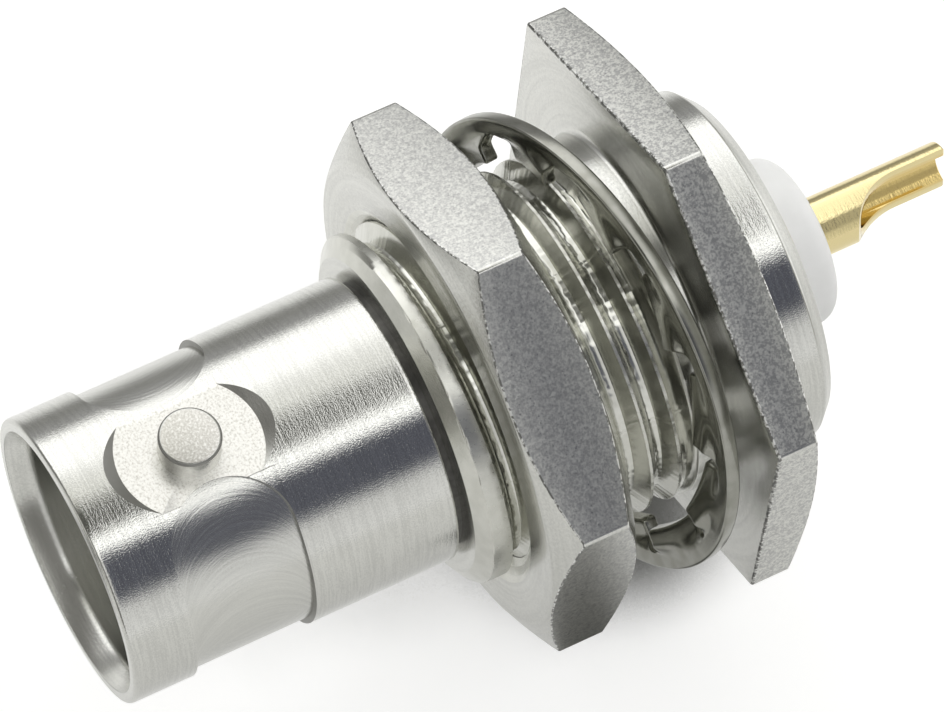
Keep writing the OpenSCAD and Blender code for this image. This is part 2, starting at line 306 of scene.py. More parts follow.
class Wire:
    """A shader socket that takes Python's operators, and makes any other node."""

    def __init__(self, tree, socket=None):
        self.tree, self.socket = tree, socket

    def node(self, kind, settings=None, inputs=None, out=0):
        """Adds a node: its settings first, then the values or links of its sockets."""
        made = self.tree.nodes.new(kind)
        for key, value in (settings or {}).items():
            if key == "stops":
                ramp = made.color_ramp
                while len(ramp.elements) < len(value):
                    ramp.elements.new(0.5)
                for element, (place, shade) in zip(ramp.elements, value):
                    element.position = place
                    element.color = shade
            elif key == "blend_ramp":
                made.color_ramp.interpolation = value
            else:
                setattr(made, key, value)
        for key, value in (inputs or {}).items():
            if isinstance(value, Wire):
                self.tree.links.new(value.socket, made.inputs[key])
            else:
                made.inputs[key].default_value = value
        return Wire(self.tree, made.outputs[out] if made.outputs else None)

    def other(self, out):
        """Another output of the same node."""
        return Wire(self.tree, self.socket.node.outputs[out])

    def maths(self, operation, *values):
        """A Math node on numbers or wires."""
        return self.node("ShaderNodeMath", {"operation": operation}, dict(enumerate(values)))

    def __add__(self, value):
        return self.maths("ADD", self, value)

    def __radd__(self, value):
        return self.maths("ADD", value, self)

    def __sub__(self, value):
        return self.maths("SUBTRACT", self, value)

    def __rsub__(self, value):
        return self.maths("SUBTRACT", value, self)

    def __mul__(self, value):
        return self.maths("MULTIPLY", self, value)

    def __rmul__(self, value):
        return self.maths("MULTIPLY", value, self)

    def __abs__(self):
        return self.maths("ABSOLUTE", self)

    def most(self, value):
        """The larger of this and a value."""
        return self.maths("MAXIMUM", self, value)

    def step(self, low, high):
        """0 below low, 1 above high, and a smooth change between."""
        return self.node("ShaderNodeMapRange", {"interpolation_type": "SMOOTHSTEP"},
                         {"Value": self, "From Min": low, "From Max": high, "To Min": 0.0, "To Max": 1.0})

    def between(self, rise, full, fade, end):
        """1 from full to fade, 0 before rise and after end."""
        return self.step(rise, full) * (1.0 - self.step(fade, end))

    def near(self, middle, full, end):
        """1 up to the distance full from the middle, 0 beyond the distance end."""
        return 1.0 - abs(self - middle).step(full, end)

    def mixed(self, first, second):
        """The first colour where this is 0, the second where it is 1."""
        return self.node("ShaderNodeMix", {"data_type": "RGBA"}, {"Factor": self, 6: first, 7: second}, 2)


def colour(r, g, b):
    return (r, g, b, 1.0)


def start_finish(name):
    """A new material with an empty tree, and a wire into it."""
    finish = bpy.data.materials.new(name)
    finish.use_nodes = True
    finish.node_tree.nodes.clear()
    return finish, Wire(finish.node_tree)


def end_finish(wire, shader):
    """Makes a shader the material's surface."""
    wire.node("ShaderNodeOutputMaterial", None, {"Surface": shader})


def place_on_part(wire):
    """Position in millimetres: x, station and z, radius and angle about the axis, and the point itself."""
    where = wire.node("ShaderNodeTexCoord", None, None, "Object")
    parts = wire.node("ShaderNodeSeparateXYZ", None, {"Vector": where})
    x, y, z = parts * TO_MM, parts.other("Y") * TO_MM, parts.other("Z") * TO_MM
    station = y + FLANGE_AT
    radius = wire.maths("SQRT", x * x + z * z)
    angle = wire.maths("ARCTAN2", x, z)
    return SimpleNamespace(x=x, station=station, z=z, radius=radius, angle=angle,
                           point=vector(wire, x, station, z))


def vector(wire, x, y, z):
    return wire.node("ShaderNodeCombineXYZ", None, {"X": x, "Y": y, "Z": z})


def noise(wire, where, scale=1.0, detail=2.0, rough=0.5):
    """Soft random values from 0 to 1, scale of them to a millimetre."""
    return wire.node("ShaderNodeTexNoise", None,
                     {"Vector": where, "Scale": scale, "Detail": detail, "Roughness": rough})


def bump(wire, relief, strength, height):
    """A normal bent by a fine relief, its height in millimetres."""
    return wire.node("ShaderNodeBump", None,
                     {"Height": relief, "Strength": strength, "Distance": height * MM})


def metal(wire, base, roughness, normal=None):
    """A bare metal surface."""
    sockets = {"Base Color": base, "Metallic": 1.0, "Roughness": roughness}
    if normal is not None:
        sockets["Normal"] = normal
    return wire.node("ShaderNodeBsdfPrincipled", None, sockets)


# Finishes

NICKEL, NICKEL_DEEP = colour(0.66, 0.66, 0.625), colour(0.56, 0.56, 0.53)
GRAIN_LIGHT, GRAIN_DARK = colour(0.7, 0.7, 0.66), colour(0.42, 0.42, 0.41)
SAND_LIGHT, SAND_DARK = colour(0.98, 0.97, 0.93), colour(0.6, 0.585, 0.54)
# Painted shade: a dark grey for the walls and rims of the bands, pockets and lugs, and a darker blotchy pair
# for the groove behind the shell.
STEP_SHADE = colour(0.3, 0.297, 0.28)
GROOVE_SHADE_LIGHT, GROOVE_SHADE_DARK = colour(0.15, 0.147, 0.138), colour(0.1, 0.098, 0.092)
CHIP_DARK, CHIP_LIGHT = colour(0.2, 0.2, 0.19), colour(0.8, 0.8, 0.77)
GOLD, GOLD_SHADED = colour(0.82, 0.7, 0.38), colour(0.78, 0.6, 0.25)
PLASTIC, PLASTIC_DEEP = colour(0.94, 0.94, 0.93), colour(0.91, 0.91, 0.9)


def turned_nickel():
    """Shell and collar: plating over the fine rings that turning leaves, with light speckle."""
    finish, wire = start_finish("turned_nickel")
    at = place_on_part(wire)
    rings = noise(wire, vector(wire, at.station * 10.0, at.x * 0.4, at.z * 0.4), detail=3.0, rough=0.7)
    speckle = noise(wire, at.point, scale=23.0, detail=1.0, rough=0.6)
    patches = noise(wire, at.point, scale=0.6)
    base = (rings * 0.5 + speckle * 0.5).step(0.42, 0.58).mixed(NICKEL, NICKEL_DEEP)
    roughness = 0.06 + 0.02 * patches + 0.04 * speckle
    normal = bump(wire, rings * 0.8 + speckle * 0.8, strength=0.5, height=0.011)
    end_finish(wire, metal(wire, base, roughness, normal))
    return finish


def milled_nickel():
    """Side bands: the arcs that a round cutter leaves as it runs along the band."""
    finish, wire = start_finish("milled_nickel")
    at = place_on_part(wire)
    cutter_r = BAND_HALF * 1.02
    from_lug = math.pi / 2 - abs(abs(at.angle) - math.pi / 2)
    across = (at.station - BAND_AT) * (1.0 / cutter_r)
    crown = wire.maths("SQRT", (1.0 - across * across).most(0.0)) * cutter_r
    along = from_lug * BAND_R + crown
    marks = noise(wire, vector(wire, along * 6.0, across * 0.4, 0.0), detail=3.0, rough=0.7)
    speckle = noise(wire, at.point, scale=21.0, rough=0.65)
    base = (marks * 0.6 + speckle * 0.4).step(0.32, 0.68).mixed(NICKEL, NICKEL_DEEP)
    normal = bump(wire, marks * 0.6 + speckle * 0.45, strength=0.6, height=0.014)
    end_finish(wire, metal(wire, base, roughness=0.14 + 0.06 * speckle, normal=normal))
    return finish


def grained_nickel():
    """Hex flats: a fine sparkling grain, harder on the flange, with faint scratches along the axis."""
    finish, wire = start_finish("grained_nickel")
    at = place_on_part(wire)
    fine = noise(wire, at.point, scale=13.0, rough=0.7)
    coarse = noise(wire, at.point, scale=6.0, rough=0.6)
    grain = fine * 0.6 + coarse * 0.4
    streaks = noise(wire, vector(wire, at.x * 9.0, at.station * 0.2, at.z * 9.0), rough=0.6)
    scratches = streaks.step(0.7, 0.73)
    on_flange = at.station.step(17.0, 19.0)
    harder = (grain - 0.5) * (1.0 + 0.8 * on_flange) + 0.5
    base = (harder + scratches * 0.1).step(0.34, 0.66).mixed(GRAIN_DARK, GRAIN_LIGHT)
    normal = bump(wire, grain + scratches * 0.2, strength=0.4, height=0.016)
    end_finish(wire, metal(wire, base, roughness=0.24 + 0.12 * fine, normal=normal))
    return finish


def satin_nickel():
    """Pocket floors and lug tops: a pale sandy face, darker on the lug."""
    finish, wire = start_finish("satin_nickel")
    at = place_on_part(wire)
    sand = noise(wire, at.point, scale=12.0, rough=0.7)
    on_lug_top = at.radius.step(5.2, 5.4)
    tone = sand + 0.1 - 0.17 * on_lug_top
    base = tone.step(0.3, 0.7).mixed(SAND_DARK, SAND_LIGHT)
    normal = bump(wire, sand, strength=0.3, height=0.014)
    end_finish(wire, metal(wire, base, roughness=0.26 + 0.12 * sand, normal=normal))
    return finish


def smooth_nickel():
    """Turned faces, chamfers and hex corners: smooth plating with a slow unevenness."""
    finish, wire = start_finish("smooth_nickel")
    at = place_on_part(wire)
    rings = noise(wire, vector(wire, at.radius * 6.0, at.station * 6.0, at.angle * 0.6), rough=0.6)
    speckle = noise(wire, at.point, scale=11.0, rough=0.65)
    base = (rings * 0.5 + speckle * 0.5).step(0.36, 0.66).mixed(NICKEL, NICKEL_DEEP)
    normal = bump(wire, rings * 0.4 + speckle * 0.6, strength=0.4, height=0.01)
    end_finish(wire, metal(wire, base, roughness=0.2 + 0.1 * speckle, normal=normal))
    return finish


def shaded_nickel():
    """Painted shade: the groove behind the shell painted dark with a blotchy variation, and a dark grey on
    the steps and edges of the shell.
    """
    finish, wire = start_finish("shaded_nickel")
    at = place_on_part(wire)
    blotches = noise(wire, at.point, scale=3.0, rough=0.6)
    groove = blotches.step(0.3, 0.7).mixed(GROOVE_SHADE_DARK, GROOVE_SHADE_LIGHT)
    in_groove = at.station.step(9.0, 10.0)
    base = in_groove.mixed(STEP_SHADE, groove)
    end_finish(wire, metal(wire, base, roughness=0.4 + 0.1 * blotches))
    return finish


def chipped_nickel():
    """Edges of the hex flats, broken into bright and dark specks."""
    finish, wire = start_finish("chipped_nickel")
    at = place_on_part(wire)
    specks = noise(wire, at.point, scale=6.5, rough=0.7)
    base = specks.step(0.45, 0.58).mixed(CHIP_DARK, CHIP_LIGHT)
    normal = bump(wire, specks, strength=0.6, height=0.03)
    end_finish(wire, metal(wire, base, roughness=0.3, normal=normal))
    return finish


def bright_nickel(name, level, roughness, warmth):
    """Threads and washer: bright plating that shows what lies around it, rougher on the barrel's crests. The
    washer's copy is set far darker, painted shade.
    """
    finish, wire = start_finish(name)
    at = place_on_part(wire)
    waves = noise(wire, at.point, scale=1.6)
    speckle = noise(wire, at.point, scale=11.0, rough=0.6)
    light, dark = [colour(grey, grey, grey - 0.02 - warmth) for grey in (level, level - 0.07)]
    base = waves.step(0.3, 0.7).mixed(light, dark)
    worn = at.radius.between(CREST_R - 0.04, CREST_R - 0.01, CREST_R + 0.2, CREST_R + 0.3)
    polish = roughness + 0.07 * speckle + 0.1 * worn
    normal = bump(wire, waves + speckle * (0.3 + worn * 0.7), strength=0.2, height=0.01)
    end_finish(wire, metal(wire, base, polish, normal))
    return finish


def plated_gold():
    """Thin gold over the contact, painted deeper and darker inside its bores as shade."""
    finish, wire = start_finish("plated_gold")
    at = place_on_part(wire)
    rings = noise(wire, vector(wire, at.station * 6.0, at.x * 0.5, at.z * 0.5), rough=0.6)
    speckle = noise(wire, at.point, scale=15.0, rough=0.6)
    # Painted shade: deeper, darker gold inside the bores.
    inside = 1.0 - at.radius.step(CUP_R + 0.04, CUP_R + 0.18)
    base = inside.mixed(GOLD, GOLD_SHADED)
    normal = bump(wire, rings + speckle * 0.6, strength=0.4, height=0.012)
    end_finish(wire, metal(wire, base, roughness=0.08 + 0.07 * speckle, normal=normal))
    return finish


def white_insulator():
    """Slightly waxy white plastic with faint turning rings."""
    finish, wire = start_finish("white_insulator")
    at = place_on_part(wire)
    rings = noise(wire, vector(wire, at.station * 5.0, at.radius * 5.0, at.angle * 0.4))
    clouds = noise(wire, at.point, scale=1.2)
    base = clouds.step(0.3, 0.7).mixed(PLASTIC, PLASTIC_DEEP)
    shader = wire.node("ShaderNodeBsdfPrincipled", None, {
        "Base Color": base, "Roughness": 0.38 + 0.1 * rings,
        "Normal": bump(wire, rings, strength=0.15, height=0.01),
        "Subsurface Weight": 0.35, "Subsurface Radius": (1.0, 1.0, 1.0), "Subsurface Scale": 0.6 * MM})
    end_finish(wire, shader)
    return finish


# Body of the jack

NICKEL_KINDS = 8
TURNED, MILLED, GRAINED, SMOOTH, BRIGHT, SATIN, SHADED, CHIPPED = range(NICKEL_KINDS)

# Limits that tell the finishes apart: the gap between rows of a rounded edge, the depth that still counts
# as a turned surface, the rise of a band's wall, the distance from a lug's middle, the depth of a nut's edge.
EDGE_MAX, ON_SURFACE, BAND_WALL, LUG_SIDE, NUT_EDGE = 0.1, 0.02, 0.15, 0.6, 0.04


def scatter(a, b):
    """A fixed share between -1 and 1 for each pair of numbers, with no pattern to the eye."""
    return np.modf(4375.85 * np.sin(917.3 * a + 78.2 * b))[0]


def thread_phase(angles, station):
    """Turns of the thread from a crest."""
    return station / PITCH - angles / (2 * math.pi) - CREST_AT


def barrel_radius(angles, station):
    """Radius of the threaded barrel: lead-in chamfer, nicked crests, and a thread that fades at both ends."""
    fade = ease(np.clip((THREAD_END - station) / RUN_OUT, 0, 1))
    around = np.remainder(angles + math.pi, 2 * math.pi) - math.pi
    phase = thread_phase(around, station)
    start = np.clip((around + math.pi) / math.radians(THREAD_START), 0, 1)
    fade = fade * np.where(phase < FIRST_CREST, 0, np.where(phase < FIRST_CREST + 1, start, 1))
    nicks = NICK_DEPTH * fade * scatter(np.round(np.degrees(angles)), np.floor(phase * 2))
    swell = np.where(station < THREAD_MIDDLE, 0, (PLAIN_R - CREST_R) * (1 - fade))
    cut = CREST_R + swell - np.abs(nicks) - THREAD_DEPTH * fade * thread_depth(phase)
    lead = CREST_R - LEAD_DROP + (station - BARREL_AT) * LEAD_DROP / LEAD_LEN
    return np.minimum(cut, lead)


def band_cutter(middle):
    """The space a round cutter clears along one side of the shell: a band with a round end near each lug."""
    sweep, straight_steps, end_steps, last_turn = math.radians(90.0 - BAND_END), 40, 32, 89.0
    along = [(sweep * i / straight_steps, BAND_HALF) for i in range(straight_steps)]
    for i in range(end_steps + 1):
        turn = math.radians(last_turn * i / end_steps)
        along.append((sweep + math.asin(BAND_HALF * math.sin(turn) / SHELL_R), BAND_HALF * math.cos(turn)))
    along = [(-turn, half) for turn, half in reversed(along[1:])] + along
    outside = SHELL_R + 0.6
    rings = []
    for turn, half in along:
        angle = math.radians(middle) + turn
        radius = np.array((BAND_R, BAND_R, outside, outside))
        station = BAND_AT + half * np.array((-1, 1, 1, -1))
        rings.append(around_axis(radius, np.full(4, angle), station))
    mesh = bmesh.new()
    cap_ends(mesh, skin(mesh, rings))
    return mesh


def on_lug(side):
    """Placement that puts local Z along a lug, its foot on the axis."""
    facing = Matrix.Rotation(0 if side > 0 else math.pi, 4, "Y")
    return Matrix.Translation((0, LUG_AT - FLANGE_AT, 0)) @ facing


def lug_shape(side):
    """A round lug with a softened rim."""
    rows = [(LUG_R, LUG_FOOT)]
    for turn in np.radians(np.linspace(0, 90, 6)):
        inset, drop = LUG_ROUND * (1 - math.cos(turn)), LUG_ROUND * (1 - math.sin(turn))
        rows.append((LUG_R - inset, LUG_TOP - drop))
    return pin_shape(rows, LUG_AROUND, on_lug(side))


def pocket_cutter(side):
    """The cone that cuts a flat pocket with a leaning wall around a lug."""
    rise = 1.2
    rows = [(POCKET_R, POCKET_FLOOR), (POCKET_R + rise * POCKET_LEAN, POCKET_FLOOR + rise)]
    return pin_shape(rows, POCKET_AROUND, on_lug(side))


def band_finish(face):
    """Milled floor, and a wall in painted shade where the band steps up to the shell."""
    middle = face.calc_center_median()
    return SHADED if math.hypot(middle.x, middle.z) > BAND_R + BAND_WALL else MILLED


def pocket_finish(face):
    """Satin floor, smooth wall, and a wall in painted shade towards the mouth."""
    if len(face.verts) > 4:
        return SATIN
    return SHADED if face.calc_center_median().y < LUG_AT - FLANGE_AT - LUG_SIDE else SMOOTH


def lug_finish(face):
    """Satin top, smooth side, and a rim in painted shade where the side rounds over."""
    if len(face.verts) > 4:
        return SATIN
    side_on, level = 0.1, 0.95
    return SHADED if side_on < abs(face.normal.z) < level else SMOOTH


def body_rows(angles):
    """The body's section in two lists of rows, from the insulator's seat to the thread and on to the seat."""
    reach = hex_reach(angles, FLANGE_APOTHEM, 0.0)
    rear_cut = FLANGE_BACK - (reach - FLANGE_FACE_R) * math.tan(math.radians(FLANGE_SLOPE))
    groove_r = SHELL_R - GROOVE_DEPTH
    chamfer_at = REAR_AT - COLLAR_CHAMFER
    front = [
        (CORE_R, SEAT_AT), (CORE_R, SOCKET_END), (SOCKET_R, SOCKET_END, SOCKET_ROUND, 2),
        (SOCKET_R, CONE_LEN, CONE_ROUND, 4), (MOUTH_R, 0, MOUTH_ROUND, 3), (SHELL_R, 0, SHELL_ROUND, 5),
        *[(SHELL_R, station) for station in SHELL_ROWS], (SHELL_R, SHELL_END, SHELL_END_ROUND, 3),
        (groove_r, SHELL_END), (groove_r, BARREL_AT), (CREST_R - LEAD_DROP, BARREL_AT)]
    back = [
        (PLAIN_R, THREAD_END), (PLAIN_R, FLANGE_AT, FLANGE_FILLET, 4), (reach - FLANGE_FACE_ROW, FLANGE_AT),
        (reach, FLANGE_AT, FLANGE_ROUND, 4), (reach, rear_cut, FLANGE_REAR_ROUND, 3),
        (FLANGE_FACE_R, FLANGE_BACK, FLANGE_FACE_ROUND, 3), (COLLAR_R, FLANGE_BACK, COLLAR_FILLET, 2),
        *[(COLLAR_R, station) for station in COLLAR_ROWS], (COLLAR_R, chamfer_at, COLLAR_ROUND, 3),
        (COLLAR_R - COLLAR_CHAMFER, REAR_AT, COLLAR_ROUND, 3), (SEAT_R, REAR_AT, SEAT_ROUND, 2),
        (SEAT_R, SEAT_AT), (CORE_R, SEAT_AT)]
    return soften(front, len(angles)), soften(back, len(angles))


def is_straight(row, following):
    """Whether two rows lie at one distance from the axis."""
    return np.abs(row[0] - following[0]).max() < WELD


def is_edge(row, following):
    """Whether two rows lie as close as those of a rounded edge."""
    return np.hypot(*(row - following)).max() < EDGE_MAX


def body_finish(row, following):
    """Which nickel finish lies between two rows of the body."""
    radius = (row[0] + following[0]).min() / 2
    station = (row[1] + following[1]).mean() / 2
    straight = is_straight(row, following)
    if station < SHELL_END and radius > SHELL_R - ON_SURFACE:
        return TURNED
    # The groove behind the shell takes the painted shade.
    if SHELL_END < station < BARREL_AT and radius < SHELL_R:
        return SHADED
    if straight and station > FLANGE_BACK and radius > COLLAR_R - ON_SURFACE:
        return TURNED
    if station > FLANGE_AT and radius > FLANGE_APOTHEM - EDGE_MAX:
        if straight:
            return GRAINED
        if is_edge(row, following):
            return CHIPPED
    return SMOOTH


def nut_finish(row, following):
    """Which nickel finish lies between two rows of the nut."""
    if is_straight(row, following):
        return GRAINED
    outside = min(row[0].min(), following[0].min()) > NUT_APOTHEM - NUT_EDGE
    return CHIPPED if outside and is_edge(row, following) else SMOOTH


def finished_skin(mesh, rows, angles, finish_between):
    """Joins rows around the axis, each stretch in its own finish."""
    finishes = [finish_between(row, following) for row, following in zip(rows, rows[1:])]
    skin(mesh, ring_points(rows, angles), False, finishes)


def polish_corners(mesh, turn):
    """Gives the rounded corners of a hex the smooth finish instead of the grain of its flats."""
    for face in mesh.faces:
        if face.material_index == GRAINED:
            middle = face.calc_center_median()
            from_corner = math.remainder(math.atan2(middle.x, middle.z) - math.radians(turn), math.pi / 3)
            if abs(from_corner) < CORNER_SPREAD:
                face.material_index = SMOOTH


def nickel_piece(name, mesh):
    """An object with an empty material slot for each nickel finish, so that a Boolean keeps their order."""
    piece = new_piece(name, mesh)
    for kind in range(NICKEL_KINDS):
        piece.data.materials.append(None)
    return piece


def build_body():
    """Turned and threaded body with its hex flange, then the milled bands, the pockets and the lugs."""
    angles = hex_angles(0.0)
    mesh = bmesh.new()
    for rows in body_rows(angles):
        finished_skin(mesh, rows, angles, body_finish)
    thread_rings(mesh, angles, BARREL_AT, THREAD_END, barrel_radius)
    close_up(mesh)
    polish_corners(mesh, 0.0)
    body = nickel_piece("connector_body_piece", mesh)
    bands = [band_cutter(90 + BAND_TURN), band_cutter(270 + BAND_TURN)]
    pockets = [pocket_cutter(side) for side in (1, -1)]
    lugs = [lug_shape(side) for side in (1, -1)]
    for shapes, operation, finish_on in ((bands, "DIFFERENCE", band_finish),
                                         (pockets, "DIFFERENCE", pocket_finish), (lugs, "UNION", lug_finish)):
        tool = joined(shapes)
        for face in tool.faces:
            face.material_index = finish_on(face)
        carve(body, nickel_piece("cutter", tool), operation)
    return body


# Nut, washer, insulator and contact

def build_nut():
    """Hex nut with chamfered corners, an inner thread and a countersink at each end."""
    angles = hex_angles(NUT_TURN)
    reach = hex_reach(angles, NUT_APOTHEM, NUT_TURN)
    drop = (reach - NUT_FACE_R) * math.tan(math.radians(NUT_SLOPE))
    sink = CREST_R + NUT_GAP + NUT_SINK
    rows = soften([
        (sink, NUT_FRONT), (NUT_FACE_R, NUT_FRONT, NUT_FACE_ROUND, 3),
        (reach, NUT_FRONT + drop, NUT_ROUND, 3), (reach, NUT_BACK - drop, NUT_ROUND, 3),
        (NUT_FACE_R, NUT_BACK, NUT_FACE_ROUND, 3), (sink, NUT_BACK)], len(angles))

    def bore_radius(around, station):
        """Radius of the nut's thread, or of a countersink where that is wider."""
        cut = CREST_R - THREAD_DEPTH * thread_depth(thread_phase(around, station)) + NUT_GAP
        from_end = np.minimum(station - NUT_FRONT, NUT_BACK - station)
        cone = sink - from_end * (NUT_SINK / NUT_SINK_LEN)
        return np.maximum(cut, cone)

    mesh = bmesh.new()
    finished_skin(mesh, rows, angles, nut_finish)
    thread_rings(mesh, angles, NUT_FRONT, NUT_BACK, bore_radius)
    close_up(mesh)
    polish_corners(mesh, NUT_TURN)
    return new_piece("hex_nut_piece", mesh)


def washer_outline():
    """Inner outline of one tooth's sector, flat with the tooth on X, and half of the tooth's angle."""
    half = TOOTH_W / 2 / (TIP_R + TOOTH_WAIST)
    gap = math.pi / TEETH - half
    slot = gap * ROOT_R * SLOT_SHARE
    side = [(TIP_R, half * share) for share in (0.0, 0.2, 0.4, 0.6, 0.8)]
    for turn in np.radians((0, 22, 45, 68, 90)):
        aside = half - TOOTH_ROUND * (1 - math.sin(turn)) / TIP_R
        side.append((TIP_R + TOOTH_ROUND * (1 - math.cos(turn)), aside))
    side.append(((TIP_R + TOOTH_ROUND + ROOT_R - slot) / 2, half))
    for turn in np.radians(np.linspace(0, 90, 9)):
        side.append((ROOT_R - slot + slot * math.sin(turn), math.pi / TEETH - gap * math.cos(turn)))
    whole = [(radius, -aside) for radius, aside in reversed(side[1:-1])] + side
    return np.array([(radius * math.cos(aside), radius * math.sin(aside)) for radius, aside in whole]), half


def washer_section(outline):
    """Flat rings over the washer from its upper inner edge round the rim and back, each with its height."""
    spacing = 2 * math.pi / TEETH
    turns = [(math.cos(k * spacing), math.sin(k * spacing)) for k in range(TEETH)]
    inner = np.concatenate([outline @ np.array([[c, s], [-s, c]]) for c, s in turns])
    along = np.roll(inner, -1, 0) - np.roll(inner, 1, 0)
    along /= np.linalg.norm(along, axis=1)[:, None]
    into = np.stack([along[:, 1], -along[:, 0]], 1)
    run = np.concatenate([[0], np.cumsum(np.linalg.norm(np.diff(inner, axis=0), axis=1))])
    lap = run[-1] + np.linalg.norm(inner[0] - inner[-1])
    around = (run - run[len(outline) // 2 - 1]) / lap * 2 * math.pi
    rim = np.stack([np.cos(around), np.sin(around)], 1)
    thick = WASHER_T / 2
    arc = [(WASHER_ROUND * (1 - math.sin(turn)), WASHER_ROUND * (1 - math.cos(turn)))
           for turn in np.radians((30, 60, 90))]
    start, end = inner + into * WASHER_ROUND, rim * (WASHER_R - WASHER_ROUND)
    top = [(inner + into * inset, thick - drop) for inset, drop in reversed(arc)]
    for share in (0.0, 0.08, 0.16, 0.24, 0.33, 0.42, 0.52, 0.62, 0.74, 0.87, 1.0):
        top.append((start + (end - start) * share, thick))
    top += [(rim * (WASHER_R - inset), thick - drop) for inset, drop in arc]
    return top + [(flat, -height) for flat, height in reversed(top)]


def build_washer():
    """Sheet ring whose inner teeth are twisted, each about its own radius, then leaned and set down."""
    spacing = 2 * math.pi / TEETH
    outline, half = washer_outline()
    lean = Matrix.Rotation(math.radians(-WASHER_LEAN), 3, "Y")
    swing = Matrix.Rotation(math.radians(WASHER_LEAN_DIR - 90), 3, "Z")
    first = Matrix.Rotation(math.radians(TOOTH_TURN - WASHER_LEAN_DIR), 3, "Z")
    sag = math.radians(WASHER_SAG_DIR)
    centre = Vector((WASHER_SAG * math.sin(sag), WASHER_AT - FLANGE_AT, WASHER_SAG * math.cos(sag)))
    rings = []
    for flat, height in washer_section(outline):
        radius = np.hypot(flat[:, 0], flat[:, 1])
        aside = np.remainder(np.arctan2(flat[:, 1], flat[:, 0]) + spacing / 2, spacing) - spacing / 2
        bend = ease(np.clip((ROOT_R + BEND_FROM - radius) / BEND_RUN, 0, 1))
        bend = bend * np.clip((spacing / 2 - np.abs(aside)) / (spacing / 2 - half), 0, 1)
        rise = height - radius * np.sin(aside) * math.tan(math.radians(TOOTH_TWIST)) * bend
        ring = []
        for (x, y), h in zip(flat, rise):
            placed = swing @ lean @ first @ Vector((x, y, h))
            ring.append(Vector((placed.x, placed.z, -placed.y)) + centre)
        rings.append(ring)
    mesh = bmesh.new()
    skin(mesh, rings, True)
    close_up(mesh)
    return new_piece("lock_washer_piece", mesh)


def build_insulator():
    """Nose, core, shoulder and boss in one turned piece, bored for the contact."""
    angles = even_angles(INSULATOR_AROUND)
    spring_r, bore_r = CONTACT_R + SPRING_GAP, CONTACT_R + PRESS_FIT
    core_r, core_at = CORE_R - PRESS_FIT, SOCKET_END - PRESS_FIT
    shoulder_r, shoulder_at = SEAT_R - PRESS_FIT, SEAT_AT + PRESS_FIT
    rows = soften([
        (spring_r, SPRING_END), (spring_r, NOSE_AT, NOSE_BORE_ROUND, 2), (NOSE_R, NOSE_AT, NOSE_ROUND, 4),
        (NOSE_R, core_at), (core_r, core_at), (core_r, shoulder_at), (shoulder_r, shoulder_at),
        (shoulder_r, BOSS_AT, SHOULDER_ROUND, 2), (BOSS_R, BOSS_AT, BOSS_FILLET, 3),
        (BOSS_R, BOSS_END, BOSS_ROUND, 10), (bore_r, BOSS_END, BOSS_BORE_ROUND, 2), (bore_r, SPRING_END)],
        len(angles))
    mesh = bmesh.new()
    skin(mesh, ring_points(rows, angles), True)
    close_up(mesh)
    return new_piece("insulator_piece", mesh)


def slot_cutter():
    """A slab, begun before the pin socket's front end, that splits it into two springs."""
    before = 1.0
    size = Matrix.Diagonal((SLOT_W, SLOT_LEN + before, 4 * CONTACT_R, 1))
    place = Matrix.Translation((0, SPRING_AT + (SLOT_LEN - before) / 2 - FLANGE_AT, 0))
    mesh = bmesh.new()
    bmesh.ops.create_cube(mesh, size=1.0, matrix=place @ size)
    return mesh


def cup_cutter():
    """The space a round cutter clears from one side of the solder cup."""
    steps, reach, half_width, past_tip = 32, 3.0, 2.0, 1.0
    corner_at = TIP_AT - CUP_OPEN
    side = [(reach, TIP_AT + past_tip), (-CUP_CUT, TIP_AT + past_tip), (-CUP_CUT, corner_at)]
    for k in range(1, steps + 1):
        turn = math.radians(CUTTER_SWEEP * k / steps)
        side.append((CUTTER_R - CUP_CUT - CUTTER_R * math.cos(turn), corner_at - CUTTER_R * math.sin(turn)))
    side.append((reach, side[-1][1]))
    facing = math.radians(CUP_DIR)
    outward = Vector((math.sin(facing), 0, math.cos(facing)))
    sideways = Vector((math.cos(facing), 0, -math.sin(facing)))
    rings = []
    for across in (-half_width, half_width):
        rings.append([outward * out + sideways * across + Vector((0, station - FLANGE_AT, 0))
                      for out, station in side])
    mesh = bmesh.new()
    cap_ends(mesh, skin(mesh, rings))
    return mesh


def build_contact():
    """Split pin socket at the front and open solder cup at the rear, each drilled to a point."""
    angles = even_angles(CONTACT_AROUND)
    pin_end, cup_end = SPRING_AT + PIN_DEPTH, TIP_AT - CUP_DEPTH
    rows = soften([
        (PIN_R, pin_end), (PIN_R, SPRING_AT, SPRING_ROUND, 3), (CONTACT_R, SPRING_AT, SPRING_ROUND, 3),
        (CONTACT_R, TIP_AT, TIP_ROUND, 3), (CUP_R, TIP_AT, CUP_ROUND, 3), (CUP_R, cup_end)], len(angles))
    mesh = bmesh.new()
    laid = skin(mesh, ring_points(rows, angles))
    for ring, point in ((laid[0], pin_end + DRILL_POINT), (laid[-1], cup_end - DRILL_POINT)):
        tip = mesh.verts.new((0, point - FLANGE_AT, 0))
        for j in range(len(ring)):
            mesh.faces.new((ring[j], ring[(j + 1) % len(ring)], tip))
    close_up(mesh)
    contact = new_piece("centre_contact_piece", mesh)
    for cutter in (slot_cutter(), cup_cutter()):
        carve(contact, new_piece("cutter", cutter), "DIFFERENCE")
    edge = contact.modifiers.new("edge", "BEVEL")
    edge.width, edge.segments = CUT_BEVEL, 2
    edge.limit_method, edge.angle_limit = "ANGLE", math.radians(40)
    bake_modifiers(contact)
    return contact


